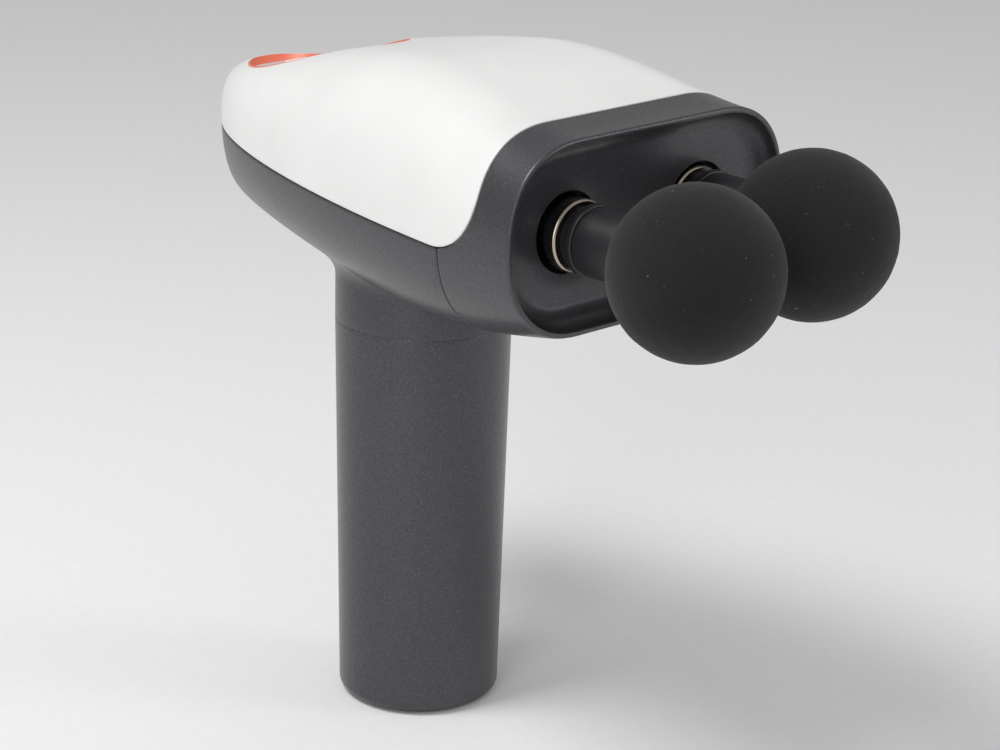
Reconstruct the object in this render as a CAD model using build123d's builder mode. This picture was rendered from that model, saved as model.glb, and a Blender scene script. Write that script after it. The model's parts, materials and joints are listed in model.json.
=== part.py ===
from build123d import *
import os
from math import asin, atan, cos, degrees, pi, sin, sqrt, tan

# Twin-head massage gun. Millimetres, +Z up, heads towards -Y.
# Origin: centre of the handle's flat base, on the handle axis.

os.makedirs("parts", exist_ok=True)

# ---- driving dimensions ----
shaft_level = 164.0         # height of the two piston axes above the base
nose_reach = 89.3           # handle axis to the front rim
body_length = 177.0         # front rim to the tip of the rounded rear
rim_half_width = 50.4
rim_half_height = 26.4
flat_half_width = 24.0      # flat middle of the front rim's stadium outline
crown_rise = 8.4            # crest of the back above the rim's top
belly_drop = 8.4            # belly below the rim's bottom
crest_at = 0.34             # crest and deepest belly, as a share of the body's length
rear_cut = 0.985            # where the rounded rear is closed, same measure
back_fall = 23.8            # back's slope down to the rear
belly_fall = 6.2            # belly's slope up to the rear
end_round = 6.0             # last rounding at the rear, above and below
wall = 2.2
seam_gap = 0.3

cover_front = 14.2          # cover's front edge, behind the rim
cover_edge_drop = 5.0       # cover's lower edge below the piston axes
cover_corner = 17.6
nose_depth = 28.7           # nose shell's length along the belly
dish_depth = 6.2
dish_floor = 2.6
lip = 1.3

handle_top = shaft_level - 47.9
handle_top_radius = 25.4
handle_base_radius = 23.6
handle_wall = 2.6
base_round = 3.0

piston_spacing = 48.0
sleeve_radius = 9.8
socket_radius = 7.0
sleeve_front = 3.55         # sleeve's front face behind the rim, in mid stroke
half_stroke = 5.0
rest_offset = 2.4           # rest pose: one head this far ahead of mid stroke, the other behind
running_fit = 0.04
hole_gap = 1.15             # dark gap between a sleeve and the dish

ball_radius = 22.5
ball_reach = 40.6           # sleeve's front face to the ball's centre
neck_radius = 9.2
stem_plug = 20.0

pivot_offset = 31.3         # rocker pivot ahead of the motor axis
rocker_thickness = 6.0
pin_radius = 3.0

panel_half_length = 31.5
panel_half_width = 17.5
panel_middle = 0.75 * body_length   # panel's centre behind the rim
panel_sink = 1.4            # opening's plane below the chord of the back
panel_recess = 0.9
button_half_length = 6.5
button_half_width = 5.0
button_gap = 0.15

cell_radius = 9.2
cell_length = 65.0
cell_floor = 34.0

# ---- outer form: one formula for every cross-section of the body ----
crest_ratio = 1 - crest_at


def swell(share):
    """Rise from the rim to the crest, 0 to 1, level at the crest."""
    return sin(pi / 2 * min(share / crest_at, 1.0))


def fall(share, slope_drop):
    """Drop behind the crest: an easy slope and a tight rounding at the very rear."""
    behind = max(share - crest_at, 0.0) / crest_ratio
    return slope_drop * behind ** 1.4 + end_round * (1 - sqrt(max(1 - behind ** 14, 0.0)))


def form(share, inset):
    """Half width, top, bottom, widest level and flat half width of one cross-section."""
    taper = 1 - share ** 1.7
    half_width = rim_half_width * taper ** 0.57 - inset
    top = rim_half_height + crown_rise * swell(share) ** 1.7 - fall(share, back_fall) - inset
    bottom = -rim_half_height - belly_drop * swell(share) + fall(share, belly_fall) + inset
    widest = -2.0 * min(share / 0.2, 1.0)
    flat = flat_half_width * taper ** 2.2 + 0.8 * taper
    return half_width, top, bottom, widest, flat


def quarter(flat, half_width, widest, edge, fullness):
    """Points of a rounded shoulder, from the flat edge round to the widest level."""
    points = []
    for step in range(5):
        turn = pi / 8 * step
        x = flat + (half_width - flat) * sin(turn) ** (2 / fullness)
        z = widest + (edge - widest) * max(cos(turn), 0.0) ** (2 / fullness)
        points.append((x, z))
    return points


def section(share, inset):
    """Closed outline of one cross-section, drawn into the current BuildLine."""
    half_width, top, bottom, widest, flat = form(share, inset)
    upper = quarter(flat, half_width, widest, top, 2.4)
    lower = quarter(flat, half_width, widest, bottom, 2.2)
    upper_left = [(-x, z) for x, z in upper]
    lower_left = [(-x, z) for x, z in lower]
    Line(upper_left[0], upper[0])
    Spline(upper, tangents=[(1, 0), (0, -1)])
    Spline(lower[::-1], tangents=[(0, -1), (-1, 0)])
    Line(lower[0], lower_left[0])
    Spline(lower_left, tangents=[(-1, 0), (0, 1)])
    Spline(upper_left[::-1], tangents=[(0, 1), (1, 0)])


def stations(first, last, count):
    """Shares of the length, closer together towards the rear."""
    steps = [sin(pi / 2 * index / (count - 1)) for index in range(count)]
    return [first + (last - first) * step for step in steps]


def rim_plane(distance):
    """Upright plane at a distance behind the rim, x to the right and y up, on the piston axes."""
    return Plane(origin=(0, distance - nose_reach, shaft_level), x_dir=(1, 0, 0), z_dir=(0, -1, 0))


def save(part, name):
    part.label = name
    export_step(part, f"parts/{name}.step")


with BuildPart() as outer_form:
    for share in stations(0, rear_cut, 11):
        with BuildSketch(rim_plane(share * body_length)):
            with BuildLine():
                section(share, 0)
            make_face()
    loft()

cavity_front = (dish_depth + dish_floor) / body_length
with BuildPart() as inner_form:
    for share in stations(cavity_front, rear_cut - 0.02, 11):
        with BuildSketch(rim_plane(share * body_length)):
            with BuildLine():
                section(share, wall)
            make_face()
    loft()


def cover_region(grow):
    """Side-view block that the top cover is cut from, grown by a seam gap."""
    front = cover_front - nose_reach - grow
    low = shaft_level - cover_edge_drop - grow
    far = body_length
    high = shaft_level + 60
    radius = cover_corner + grow
    with BuildPart() as block:
        with BuildSketch(Plane.YZ):
            with BuildLine():
                Polyline((far, low), (far, high), (front, high), (front, low + radius))
                RadiusArc((front, low + radius), (front + radius, low), -radius)
                Line((front + radius, low), (far, low))
            make_face()
        extrude(amount=rim_half_width + 5, both=True)
    return block.part


cover_block = cover_region(0)
cover_block_wide = cover_region(seam_gap)

# ---- control panel plane, on the sloping rear of the back ----
panel_front_top = form((panel_middle - panel_half_length) / body_length, 0)[1]
panel_rear_top = form((panel_middle + panel_half_length) / body_length, 0)[1]
panel_slope = atan((panel_front_top - panel_rear_top) / (2 * panel_half_length))
panel_plane = Plane(
    origin=(0, panel_middle - nose_reach, shaft_level + (panel_front_top + panel_rear_top) / 2 - panel_sink),
    x_dir=(1, 0, 0),
    z_dir=(0, sin(panel_slope), cos(panel_slope)),
)
ring_width = 1.9
ring_fit = 0.05

# ---- shells ----
with BuildPart() as top_cover:
    add(outer_form.part)
    add(cover_block, mode=Mode.INTERSECT)
    add(inner_form.part, mode=Mode.SUBTRACT)
    with BuildSketch(panel_plane.offset(-12)):
        Ellipse(panel_half_width + ring_fit, panel_half_length + ring_fit)
    extrude(amount=30, mode=Mode.SUBTRACT)
save(top_cover.part, "top_cover")

nose_rear = nose_depth - nose_reach
sleeve_places = [(-piston_spacing / 2, 0), (piston_spacing / 2, 0)]
with BuildPart() as nose_shell:
    add(outer_form.part)
    add(cover_block_wide, mode=Mode.SUBTRACT)
    with BuildSketch(Plane.XZ.offset(-nose_rear)):
        Rectangle(300, 600)
    extrude(amount=-300, mode=Mode.SUBTRACT)
    add(inner_form.part, mode=Mode.SUBTRACT)
    with BuildSketch(rim_plane(0)):
        SlotOverall(2 * (rim_half_width - lip), 2 * (rim_half_height - lip))
    with BuildSketch(rim_plane(dish_depth)):
        SlotOverall(2 * (rim_half_width - lip - 5), 2 * (rim_half_height - lip - 5))
    loft(mode=Mode.SUBTRACT)
    with BuildSketch(rim_plane(dish_depth + 10)):
        with Locations(*sleeve_places):
            Circle(sleeve_radius + hole_gap)
    extrude(amount=20, mode=Mode.SUBTRACT)
save(nose_shell.part, "nose_shell")

neck_bore = handle_top_radius - handle_wall - 0.8
belly_level = shaft_level - rim_half_height - belly_drop
neck_fillet = 4.0
housing_radius = 15.5
deck_under = shaft_level - housing_radius
deck_rear = 22.0
deck_rear_half_width = form((nose_reach + deck_rear) / body_length, wall)[0] - 3.6
boss_rear = deck_rear_half_width - 3.2
boss_places = [(-33, -46), (33, -46), (-boss_rear, 14), (boss_rear, 14)]
screw_core = 1.25
with BuildPart() as lower_shell:
    add(outer_form.part)
    body_edges = lower_shell.edges()
    with BuildSketch(Plane.XY.offset(handle_top + seam_gap)):
        Circle(handle_top_radius)
    extrude(amount=belly_level + 8 - handle_top)
    neck_edges = [
        edge
        for edge in lower_shell.edges().filter_by(lambda edge: edge.center().Z > belly_level - 1)
        if edge not in body_edges and abs(edge.center().Y) < handle_top_radius + 4
        and edge.bounding_box().max.Z < belly_level + 8
    ]
    fillet(neck_edges, neck_fillet)
    with BuildSketch(Plane.XZ.offset(-(nose_rear + seam_gap))):
        Rectangle(300, 600)
    extrude(amount=300, mode=Mode.SUBTRACT)
    add(cover_block_wide, mode=Mode.SUBTRACT)
    add(inner_form.part, mode=Mode.SUBTRACT)
    with BuildSketch(Plane.XY.offset(handle_top)):
        Circle(neck_bore)
    extrude(amount=deck_under - handle_top, mode=Mode.SUBTRACT)
    with BuildPart(mode=Mode.PRIVATE) as bosses:
        with BuildSketch(Plane.XY.offset(belly_level - 4)):
            with Locations(*boss_places):
                Circle(3.6)
        extrude(amount=deck_under - belly_level + 4)
        add(outer_form.part, mode=Mode.INTERSECT)
    add(bosses.part)
    with BuildSketch(Plane.XY.offset(deck_under)):
        with Locations(*boss_places):
            Circle(screw_core)
    extrude(amount=-11, mode=Mode.SUBTRACT)
save(lower_shell.part, "lower_shell")

# ---- handle, base and battery ----
foot_height = 1.2
base_level = 0.4
socket_level = 19.0
jack_radius = 4.2
with BuildPart() as handle_tube:
    with BuildSketch(Plane.XZ):
        Polygon(
            (0, base_level),
            (handle_base_radius, base_level),
            (handle_top_radius, handle_top),
            (0, handle_top),
            align=None,
        )
    revolve(axis=Axis.Z)
    fillet(handle_tube.edges().filter_by(GeomType.CIRCLE).sort_by(Axis.Z)[0], base_round)
    with BuildSketch(Plane.XZ):
        Polygon(
            (0, base_level - 1),
            (handle_base_radius - handle_wall, base_level - 1),
            (handle_base_radius - handle_wall, cell_floor),
            (neck_bore, handle_top - 14),
            (neck_bore, handle_top + 1),
            (0, handle_top + 1),
            align=None,
        )
    revolve(axis=Axis.Z, mode=Mode.SUBTRACT)
    with BuildSketch(Plane.XZ.offset(-handle_base_radius - 3)):
        with Locations((0, socket_level)):
            Circle(jack_radius + 0.6 + ring_fit)
    extrude(amount=10, mode=Mode.SUBTRACT)
save(handle_tube.part, "handle_tube")

with BuildPart() as handle_collar:
    with BuildSketch(Plane.XY.offset(handle_top - 12)):
        Circle(neck_bore - 0.02)
        Circle(neck_bore - 1.7, mode=Mode.SUBTRACT)
    extrude(amount=17)
save(handle_collar.part, "handle_collar")

base_inner = handle_base_radius - handle_wall
post_circle = 15.5
with BuildPart() as base_cap:
    with BuildSketch(Plane.XY.offset(foot_height)):
        Circle(base_inner - ring_fit)
    extrude(amount=2.8)
    with BuildSketch(Plane.XY.offset(foot_height)):
        with PolarLocations(post_circle, 3, start_angle=30):
            Circle(1.6)
    extrude(amount=2.8, mode=Mode.SUBTRACT)
save(base_cap.part, "base_cap")

with BuildPart() as base_foot:
    with BuildSketch(Plane.XY):
        Circle(base_inner - ring_fit)
    extrude(amount=foot_height)
    chamfer(base_foot.edges().group_by(Axis.Z)[0], 0.35)
save(base_foot.part, "base_foot")

cap_top = foot_height + 2.8
with BuildPart() as lower_cell_holder:
    with BuildSketch(Plane.XY.offset(cell_floor - 4)):
        Circle(base_inner - 0.4)
        Circle(3, mode=Mode.SUBTRACT)
    extrude(amount=4)
    with BuildSketch(Plane.XY.offset(cap_top)):
        with PolarLocations(post_circle, 3, start_angle=30):
            Circle(3.2)
    extrude(amount=cell_floor - 4 - cap_top)
    with BuildSketch(Plane.XY.offset(cap_top)):
        with PolarLocations(post_circle, 3, start_angle=30):
            Circle(screw_core)
    extrude(amount=10, mode=Mode.SUBTRACT)
save(lower_cell_holder.part, "lower_cell_holder")


def screw_group(plane, places, head_radius, head_height, length):
    """Cylindrical-head screws, heads above the plane and threads below it."""
    with BuildPart() as group:
        with BuildSketch(plane):
            with Locations(*places):
                Circle(head_radius)
                RegularPolygon(head_radius * 0.45, 6, mode=Mode.SUBTRACT)
        extrude(amount=head_height)
        with BuildSketch(plane):
            with Locations(*places):
                Circle(head_radius)
        extrude(amount=head_height * 0.4)
        with BuildSketch(plane):
            with Locations(*places):
                Circle(screw_core)
        extrude(amount=-length)
    return group.part


base_places = [
    (post_circle * cos(pi / 6 + 2 * pi / 3 * turn), -post_circle * sin(pi / 6 + 2 * pi / 3 * turn))
    for turn in range(3)
]
under_cap = Plane(origin=(0, 0, cap_top - 1.4), x_dir=(1, 0, 0), z_dir=(0, 0, -1))
with BuildPart() as base_screws:
    with BuildSketch(under_cap):
        with Locations(*base_places):
            Circle(1.55)
    extrude(amount=1.2)
    with BuildSketch(under_cap):
        with Locations(*base_places):
            Circle(screw_core)
    extrude(amount=-9)
save(base_screws.part, "base_screws")

cell_circle = cell_radius * 2 / sqrt(3) + 0.15
with BuildPart() as battery_cells:
    with BuildSketch(Plane.XY.offset(cell_floor)):
        with PolarLocations(cell_circle, 3, start_angle=90):
            Circle(cell_radius)
    extrude(amount=cell_length)
    with BuildSketch(Plane.XY.offset(cell_floor + cell_length)):
        with PolarLocations(cell_circle, 3, start_angle=90):
            Circle(2.8)
    extrude(amount=0.8)
save(battery_cells.part, "battery_cells")

cell_top = cell_floor + cell_length + 0.8
with BuildPart() as upper_cell_holder:
    with BuildSketch(Plane.XY.offset(cell_top)):
        Circle(base_inner - 0.6)
        Circle(3, mode=Mode.SUBTRACT)
    extrude(amount=2.6)
save(upper_cell_holder.part, "upper_cell_holder")

with BuildPart() as battery_board:
    with BuildSketch(Plane.XY.offset(cell_top + 2.6)):
        Circle(base_inner - 2)
    extrude(amount=1.6)
    with BuildSketch(Plane.XY.offset(cell_top + 4.2)):
        with Locations((-6, 3), (6, 3), (0, -8)):
            Rectangle(7, 5)
    extrude(amount=1.8)
save(battery_board.part, "battery_board")

socket_face = handle_base_radius + 0.1
with BuildPart() as charge_socket:
    with BuildSketch(Plane.XZ.offset(-socket_face)):
        with Locations((0, socket_level)):
            Circle(jack_radius + 0.6)
            Circle(2.9, mode=Mode.SUBTRACT)
    extrude(amount=9)
    with BuildSketch(Plane.XZ.offset(-(socket_face - 9))):
        with Locations((0, socket_level)):
            Rectangle(9, 8)
    extrude(amount=3)
    with BuildSketch(Plane.XZ.offset(-(socket_face - 1))):
        with Locations((0, socket_level)):
            Circle(1.0)
    extrude(amount=8.5)
save(charge_socket.part, "charge_socket")

# ---- drive frame: bush housings, deck and pivot boss in one casting ----
housing_front = 12.5 - nose_reach
housing_length = 26.0
bush_radius = 12.5
deck_top = deck_under + 3.5
deck_half_width = 38.0
deck_waist = -38.0           # where the deck narrows behind the pistons
pivot_y = -pivot_offset
rocker_floor = shaft_level - rocker_thickness / 2
motor_screw_circle = 13.5
piston_places = [(-piston_spacing / 2, shaft_level), (piston_spacing / 2, shaft_level)]
with BuildPart() as drive_frame:
    with BuildSketch(Plane.XZ.offset(-housing_front)):
        with Locations(*piston_places):
            Circle(housing_radius)
        with Locations((0, shaft_level)):
            Rectangle(piston_spacing, 12)
    extrude(amount=-housing_length)
    with BuildSketch(Plane.XY.offset(deck_under)):
        with Locations((0, (housing_front + deck_waist) / 2)):
            RectangleRounded(2 * deck_half_width, deck_waist - housing_front, 4)
        with Locations((0, (housing_front + deck_rear) / 2)):
            RectangleRounded(2 * deck_rear_half_width, deck_rear - housing_front, 4)
    extrude(amount=deck_top - deck_under)
    with BuildSketch(Plane.XZ.offset(-housing_front)):
        with Locations(*piston_places):
            Circle(bush_radius)
    extrude(amount=-housing_length, mode=Mode.SUBTRACT)
    with BuildSketch(Plane.XY.offset(deck_top)):
        with Locations((0, pivot_y)):
            Circle(6.5)
    extrude(amount=rocker_floor - deck_top - 0.1)
    with BuildSketch(Plane.XY.offset(deck_under)):
        Circle(7.5)
        with Locations((0, pivot_y)):
            Circle(4)
        with Locations(*boss_places):
            Circle(1.6)
        with PolarLocations(motor_screw_circle, 4, start_angle=45):
            Circle(1.6)
    extrude(amount=20, mode=Mode.SUBTRACT)
save(drive_frame.part, "drive_frame")

save(screw_group(Plane.XY.offset(deck_top), boss_places, 2.9, 2.4, deck_top - deck_under + 9), "frame_screws")

# ---- motor ----
motor_radius = 19.5
motor_floor = deck_under - 25.5
shaft_radius = 2.5
with BuildPart() as motor_can:
    with BuildSketch(Plane.XY.offset(motor_floor)):
        Circle(motor_radius)
    extrude(amount=deck_under - motor_floor)
    with BuildSketch(Plane.XY.offset(motor_floor + 2.4)):
        Circle(motor_radius - 1.5)
    extrude(amount=deck_under - motor_floor - 5.4, mode=Mode.SUBTRACT)
    with BuildSketch(Plane.XY.offset(motor_floor)):
        Circle(6)
    extrude(amount=deck_under - motor_floor, mode=Mode.SUBTRACT)
    with BuildSketch(Plane.XY.offset(deck_under)):
        with PolarLocations(motor_screw_circle, 4, start_angle=45):
            Circle(screw_core)
    extrude(amount=-3, mode=Mode.SUBTRACT)
save(motor_can.part, "motor_can")

with BuildPart() as motor_windings:
    with BuildSketch(Plane.XY.offset(motor_floor + 5)):
        Circle(motor_radius - 1.5)
        Circle(12.5, mode=Mode.SUBTRACT)
        with PolarLocations(14, 12):
            Rectangle(5, 1.2, mode=Mode.SUBTRACT)
    extrude(amount=15)
save(motor_windings.part, "motor_windings")

motor_screw_places = [
    (motor_screw_circle * cos(pi / 4 + pi / 2 * turn), motor_screw_circle * sin(pi / 4 + pi / 2 * turn))
    for turn in range(4)
]
save(
    screw_group(Plane.XY.offset(deck_top - 1.2), motor_screw_places, 1.55, 1.0, deck_top - 1.2 - deck_under + 2.6),
    "motor_screws",
)

with BuildPart() as motor_bearings:
    for level in (motor_floor + 0.2, deck_under - 3):
        with BuildSketch(Plane.XY.offset(level)):
            Circle(6)
            Circle(shaft_radius + running_fit, mode=Mode.SUBTRACT)
        extrude(amount=2.2)
save(motor_bearings.part, "motor_bearings")

rest_turn = asin(rest_offset / (piston_spacing / 2))
full_turn = asin(half_stroke / (piston_spacing / 2))
crank_radius = pivot_offset * sin(full_turn)
roller_radius = 5.0
crank_floor = deck_top + 1.0
crank_height = 5.4
roller_top = rocker_floor - 0.3
with BuildPart() as motor_rotor:
    with BuildSketch(Plane.XY.offset(motor_floor - 1)):
        Circle(shaft_radius)
    extrude(amount=crank_floor + crank_height - motor_floor + 1)
    with BuildSketch(Plane.XY.offset(motor_floor + 4.5)):
        Circle(12)
    extrude(amount=16)
save(motor_rotor.part, "motor_rotor")

# The crank pin stands on the rocker tail's centre line in the rest pose.
tail_reach = pivot_offset * cos(rest_turn) + sqrt(crank_radius ** 2 - (pivot_offset * sin(rest_turn)) ** 2)
crank_pin_place = (-tail_reach * sin(rest_turn), tail_reach * cos(rest_turn) - pivot_offset)
with BuildPart() as crank_disc:
    with BuildSketch(Plane.XY.offset(crank_floor)):
        Circle(13)
        Circle(shaft_radius, mode=Mode.SUBTRACT)
        with Locations(crank_pin_place):
            Circle(2.4, mode=Mode.SUBTRACT)
    extrude(amount=crank_height)
save(crank_disc.part, "crank_disc")

with BuildPart() as crank_pin:
    with BuildSketch(Plane.XY.offset(crank_floor)):
        with Locations(crank_pin_place):
            Circle(2.4)
    extrude(amount=roller_top - crank_floor)
save(crank_pin.part, "crank_pin")

with BuildPart() as crank_roller:
    with BuildSketch(Plane.XY.offset(crank_floor + crank_height + 0.1)):
        with Locations(crank_pin_place):
            Circle(roller_radius)
            Circle(2.4, mode=Mode.SUBTRACT)
    extrude(amount=roller_top - crank_floor - crank_height - 0.1)
save(crank_roller.part, "crank_roller")

# ---- rocker ----
rocker_plane = Plane(
    origin=(0, pivot_y, rocker_floor),
    x_dir=(cos(rest_turn), sin(rest_turn), 0),
    z_dir=(0, 0, 1),
)
arm_half = piston_spacing / 2
tail_length = pivot_offset + crank_radius + roller_radius + 4
slot_middle = pivot_offset
slot_length = 2 * (crank_radius + roller_radius) + 0.4
with BuildPart() as rocker:
    with BuildSketch(rocker_plane):
        SlotCenterToCenter(2 * arm_half, 9)
        Circle(9)
        with Locations((0, tail_length / 2)):
            Rectangle(17, tail_length)
        with Locations((0, slot_middle)):
            SlotOverall(slot_length, 2 * roller_radius + 0.2, rotation=90, mode=Mode.SUBTRACT)
        Circle(6, mode=Mode.SUBTRACT)
        with Locations((-arm_half, 0), (arm_half, 0)):
            Circle(pin_radius, mode=Mode.SUBTRACT)
    extrude(amount=rocker_thickness)
save(rocker.part, "rocker")

with BuildPart() as rocker_bush:
    with BuildSketch(rocker_plane):
        Circle(6)
        Circle(4 + running_fit, mode=Mode.SUBTRACT)
    extrude(amount=rocker_thickness)
save(rocker_bush.part, "rocker_bush")

with BuildPart() as rocker_end_pins:
    with BuildSketch(rocker_plane.offset(-4)):
        with Locations((-arm_half, 0), (arm_half, 0)):
            Circle(pin_radius)
    extrude(amount=rocker_thickness + 8)
save(rocker_end_pins.part, "rocker_end_pins")

with BuildPart() as rocker_pivot_pin:
    with BuildSketch(Plane.XY.offset(deck_under)):
        with Locations((0, pivot_y)):
            Circle(4)
    extrude(amount=rocker_floor + rocker_thickness + 2 - deck_under)
save(rocker_pivot_pin.part, "rocker_pivot_pin")

with BuildPart() as rocker_circlip:
    with BuildSketch(Plane.XY.offset(rocker_floor + rocker_thickness + 0.1)):
        with Locations((0, pivot_y)):
            Circle(6.6)
            Circle(4, mode=Mode.SUBTRACT)
    extrude(amount=1)
save(rocker_circlip.part, "rocker_circlip")

# ---- the two pistons and their massage heads ----
clevis_front = 14.0         # clevis shoulder ahead of its pin
bridge_rear = 7.0           # front wall of the clevis gap ahead of its pin
ear_rear = 6.5
plug_fit = 0.05
slot_fit = 0.08             # end pin in the clevis slot, which also takes up the arm's arc
groove_length = 3.4
flange_length = 2.2
stem_end = 10.0             # stem's inner end past the ball's centre
for side, sign in (("right", -1), ("left", 1)):
    axis_x = sign * piston_spacing / 2
    offset = sign * rest_offset
    face = sleeve_front - nose_reach + offset
    pin_y = pivot_y + offset
    axis_plane = Plane(origin=(axis_x, face, shaft_level), x_dir=(1, 0, 0), z_dir=(0, -1, 0))
    bush_plane = Plane(origin=(axis_x, housing_front, shaft_level), x_dir=(1, 0, 0), z_dir=(0, -1, 0))
    pin_plane = Plane(origin=(axis_x, pin_y, shaft_level), x_dir=(1, 0, 0), z_dir=(0, 0, 1))
    sleeve_length = pin_y - clevis_front - face

    with BuildPart() as piston_sleeve:
        with BuildSketch(axis_plane):
            Circle(sleeve_radius)
        extrude(amount=-sleeve_length)
        chamfer(piston_sleeve.edges().sort_by(Axis.Y)[0], 1.0)
        with BuildSketch(axis_plane):
            Circle(socket_radius)
        extrude(amount=-sleeve_length, mode=Mode.SUBTRACT)
    save(piston_sleeve.part, f"{side}_piston_sleeve")

    with BuildPart() as clevis:
        with BuildSketch(axis_plane.offset(-sleeve_length)):
            Circle(socket_radius)
        extrude(amount=13)
        with BuildSketch(axis_plane.offset(-sleeve_length)):
            RectangleRounded(16, 18, 2)
        extrude(amount=-(clevis_front + ear_rear))
        with BuildSketch(pin_plane.offset(-rocker_thickness / 2 - 0.5)):
            with Locations((0, (30 - bridge_rear) / 2)):
                Rectangle(40, 30 + bridge_rear)
        extrude(amount=rocker_thickness + 1, mode=Mode.SUBTRACT)
        with BuildSketch(pin_plane.offset(-12)):
            SlotOverall(2 * pin_radius + 1.6, 2 * (pin_radius + slot_fit))
        extrude(amount=24, mode=Mode.SUBTRACT)
    save(clevis.part, f"{side}_clevis")

    with BuildPart() as bush:
        with BuildSketch(bush_plane):
            Circle(bush_radius)
            Circle(sleeve_radius + running_fit, mode=Mode.SUBTRACT)
        extrude(amount=-housing_length)
    save(bush.part, f"{side}_piston_bush")

    with BuildPart() as wiper_seal:
        with BuildSketch(bush_plane):
            Circle(sleeve_radius + 3.6)
            Circle(sleeve_radius + 0.3, mode=Mode.SUBTRACT)
        extrude(amount=3.3)
    save(wiper_seal.part, f"{side}_wiper_seal")

    ball_plane = axis_plane.offset(ball_reach)
    stem_plane = Plane(origin=(axis_x, face, shaft_level), x_dir=(0, -1, 0), z_dir=(1, 0, 0))
    ring_at = -stem_plug + 5
    with BuildPart() as head_stem:
        with BuildSketch(stem_plane):
            Polygon(
                (-stem_plug, 0),
                (-stem_plug, socket_radius - 1),
                (-stem_plug + 1, socket_radius - plug_fit),
                (ring_at - 1, socket_radius - plug_fit),
                (ring_at - 1, socket_radius - 1.6),
                (ring_at + 1, socket_radius - 1.6),
                (ring_at + 1, socket_radius - plug_fit),
                (0.1, socket_radius - plug_fit),
                (0.1, neck_radius - 1.4),
                (groove_length, neck_radius - 1.4),
                (groove_length, neck_radius + 0.4),
                (groove_length + flange_length, neck_radius + 0.4),
                (groove_length + flange_length, neck_radius),
                (ball_reach - 12, neck_radius),
                (ball_reach - 12, neck_radius - 2.2),
                (ball_reach + stem_end, neck_radius - 2.2),
                (ball_reach + stem_end, 0),
                align=None,
            )
        revolve(axis=Axis(origin=(axis_x, face, shaft_level), direction=(0, -1, 0)))
    save(head_stem.part, f"{side}_head_stem")

    with BuildPart() as stem_ring:
        with BuildSketch(axis_plane.offset(ring_at - 0.7)):
            Circle(socket_radius - 0.3)
            Circle(socket_radius - 1.6, mode=Mode.SUBTRACT)
        extrude(amount=1.4)
    save(stem_ring.part, f"{side}_stem_ring")

    with BuildPart() as ball:
        with Locations(ball_plane):
            Sphere(ball_radius)
        with BuildSketch(axis_plane.offset(ball_reach - ball_radius - 1)):
            Circle(neck_radius)
        extrude(amount=ball_radius + 1 - 12, mode=Mode.SUBTRACT)
        with BuildSketch(axis_plane.offset(ball_reach - 13)):
            Circle(neck_radius - 2.2)
        extrude(amount=13 + stem_end, mode=Mode.SUBTRACT)
    save(ball.part, f"{side}_foam_ball")

# ---- control panel ----
panel_top = -panel_recess
panel_skin = 1.4
button_place = (0, 12.0)
led_places = [(0, -12.0 + 4.5 * step) for step in range(4)]
with BuildPart() as panel_ring:
    with BuildSketch(panel_plane.offset(-3.2)):
        Ellipse(panel_half_width, panel_half_length)
        Ellipse(panel_half_width - ring_width, panel_half_length - ring_width, mode=Mode.SUBTRACT)
    extrude(amount=3.4)
save(panel_ring.part, "panel_ring")

with BuildPart() as control_panel:
    with BuildSketch(panel_plane.offset(-3.2)):
        Ellipse(panel_half_width - ring_width - ring_fit, panel_half_length - ring_width - ring_fit)
    extrude(amount=3.2 - panel_recess)
    with BuildSketch(panel_plane.offset(-4.2)):
        Ellipse(panel_half_width, panel_half_length)
    extrude(amount=1.0)
    with BuildSketch(panel_plane.offset(-4.2)):
        with Locations(button_place):
            Ellipse(button_half_width + button_gap, button_half_length + button_gap)
        with Locations(*led_places):
            Circle(0.9)
    extrude(amount=8, mode=Mode.SUBTRACT)
    with BuildSketch(panel_plane.offset(-6.4)):
        with Locations((0, 22), (0, -19)):
            Circle(2.2)
            Circle(0.8, mode=Mode.SUBTRACT)
    extrude(amount=2.2)
save(control_panel.part, "control_panel")

with BuildPart() as led_windows:
    with BuildSketch(panel_plane.offset(-4.2)):
        with Locations(*led_places):
            Circle(0.88)
    extrude(amount=4.2 - panel_recess)
save(led_windows.part, "led_windows")

with BuildPart() as power_button:
    with BuildSketch(panel_plane.offset(-4.4)):
        with Locations(button_place):
            Ellipse(button_half_width, button_half_length)
    extrude(amount=4.4 - panel_recess + 0.4)
    fillet(power_button.edges().group_by(Axis.Z)[-1], 0.4)
save(power_button.part, "power_button")

with BuildPart() as control_board:
    with BuildSketch(panel_plane.offset(-8.0)):
        with Locations((0, 1.5)):
            RectangleRounded(20, 48, 3)
    extrude(amount=1.6)
save(control_board.part, "control_board")

with BuildPart() as button_switch:
    with BuildSketch(panel_plane.offset(-6.4)):
        with Locations(button_place):
            Rectangle(5, 5)
    extrude(amount=0.8)
    with BuildSketch(panel_plane.offset(-5.6)):
        with Locations(button_place):
            Circle(1.5)
    extrude(amount=0.4)
save(button_switch.part, "button_switch")

with BuildPart() as board_screws:
    board_under = Plane(origin=panel_plane.offset(-8.0).origin, x_dir=(1, 0, 0), z_dir=-panel_plane.z_dir)
    with BuildSketch(board_under):
        with Locations((0, -22), (0, 19)):
            Circle(1.8)
    extrude(amount=1.2)
save(board_screws.part, "board_screws")

with BuildPart() as motor_board:
    with BuildSketch(Plane.XZ.offset(-deck_rear)):
        with Locations((0, deck_top - 3)):
            Rectangle(34, 18)
    extrude(amount=-1.6)
    with BuildSketch(Plane.XZ.offset(-(deck_rear + 1.6))):
        with Locations((-9, deck_top - 2), (0, deck_top - 2), (9, deck_top - 2)):
            Rectangle(6, 7)
    extrude(amount=-1.6)
save(motor_board.part, "motor_board")
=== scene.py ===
import json
import math

import bmesh
import bpy
from mathutils import Matrix, Vector, noise


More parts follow.
